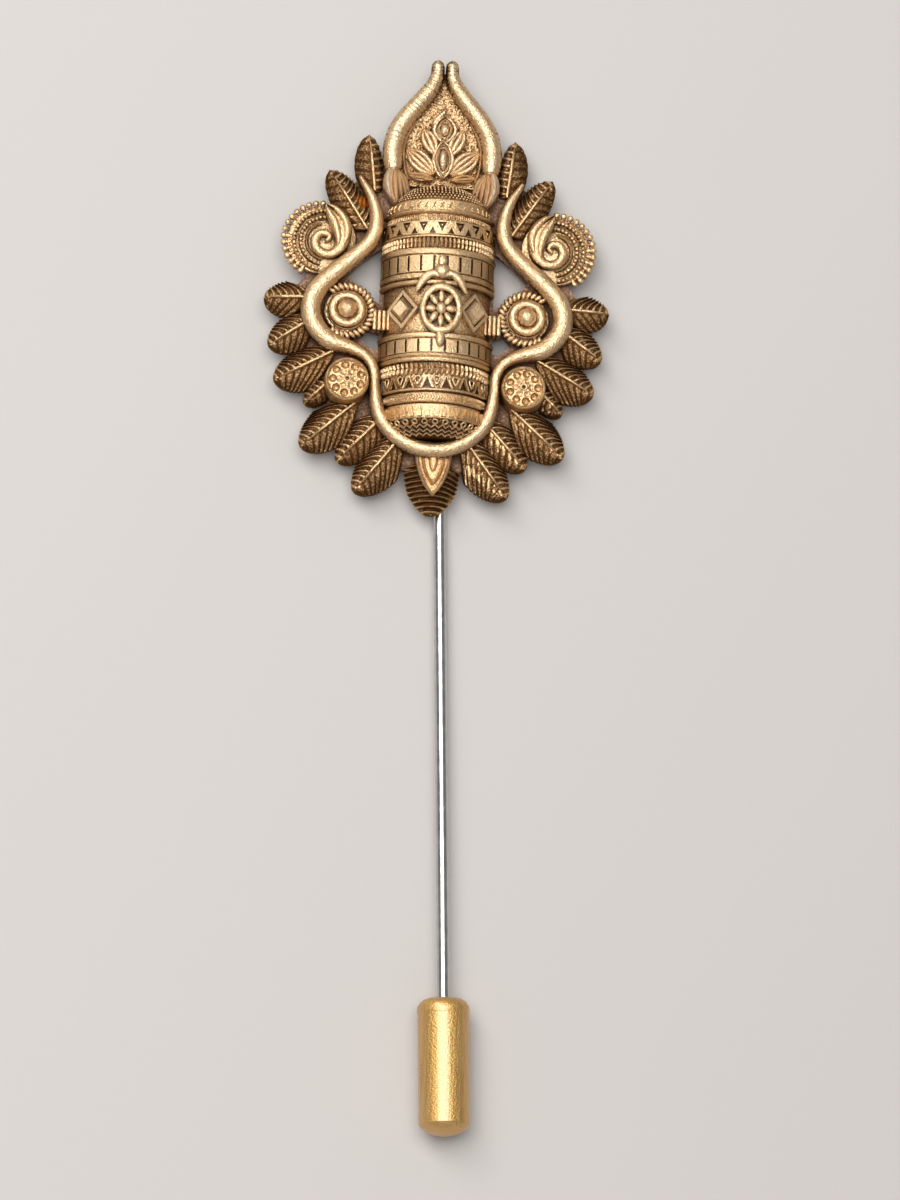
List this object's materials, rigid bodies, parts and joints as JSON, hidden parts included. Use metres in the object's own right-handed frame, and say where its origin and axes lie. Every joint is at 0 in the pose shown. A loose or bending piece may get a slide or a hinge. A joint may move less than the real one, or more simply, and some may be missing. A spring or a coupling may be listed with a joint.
{
  "type": "lapel stick pin with push-on cap",
  "caption": "Ornate brass stick pin: banded half barrel in a leafy pierced head with scrolls and cups, on a straight steel needle with a bullet-shaped push-on cap.",
  "frame": {"origin": "on the flat back face of the boss, under the middle of the drum", "axes": "+Y towards the tip of the crown, +Z to the front of the head, +X to the viewer's right"},
  "size_m": [0.0344, 0.108, 0.008],
  "materials": {
    "antique_brass": "cast brass, dark patina in the recesses, rubbed bright on the high places",
    "satin_brass": "rubbed satin brass with a fine sandy grain",
    "gold_cap": "satin gold plate with fine lengthwise streaks",
    "needle_steel": "polished steel"
  },
  "bodies": {
    "head": {"back_boss": "antique_brass", "leaf_wreath": "antique_brass", "drum": "antique_brass", "rail": "satin_brass", "crown_arch": "satin_brass", "lotus": "antique_brass", "scroll_left": "antique_brass", "scroll_right": "antique_brass", "eye_left": "satin_brass", "eye_right": "satin_brass", "rosette_left": "antique_brass", "rosette_right": "antique_brass", "sepal_left": "antique_brass", "sepal_right": "antique_brass", "emblem": "satin_brass", "needle": "needle_steel"},
    "cap": {"cap": "gold_cap"}
  },
  "joints": [
    {"name": "cap_slide", "type": "slide", "parent": "head", "child": "cap", "axis": [0.0392, -0.9988, 0.0297], "range_m": [0, 0.0115]}
  ]
}
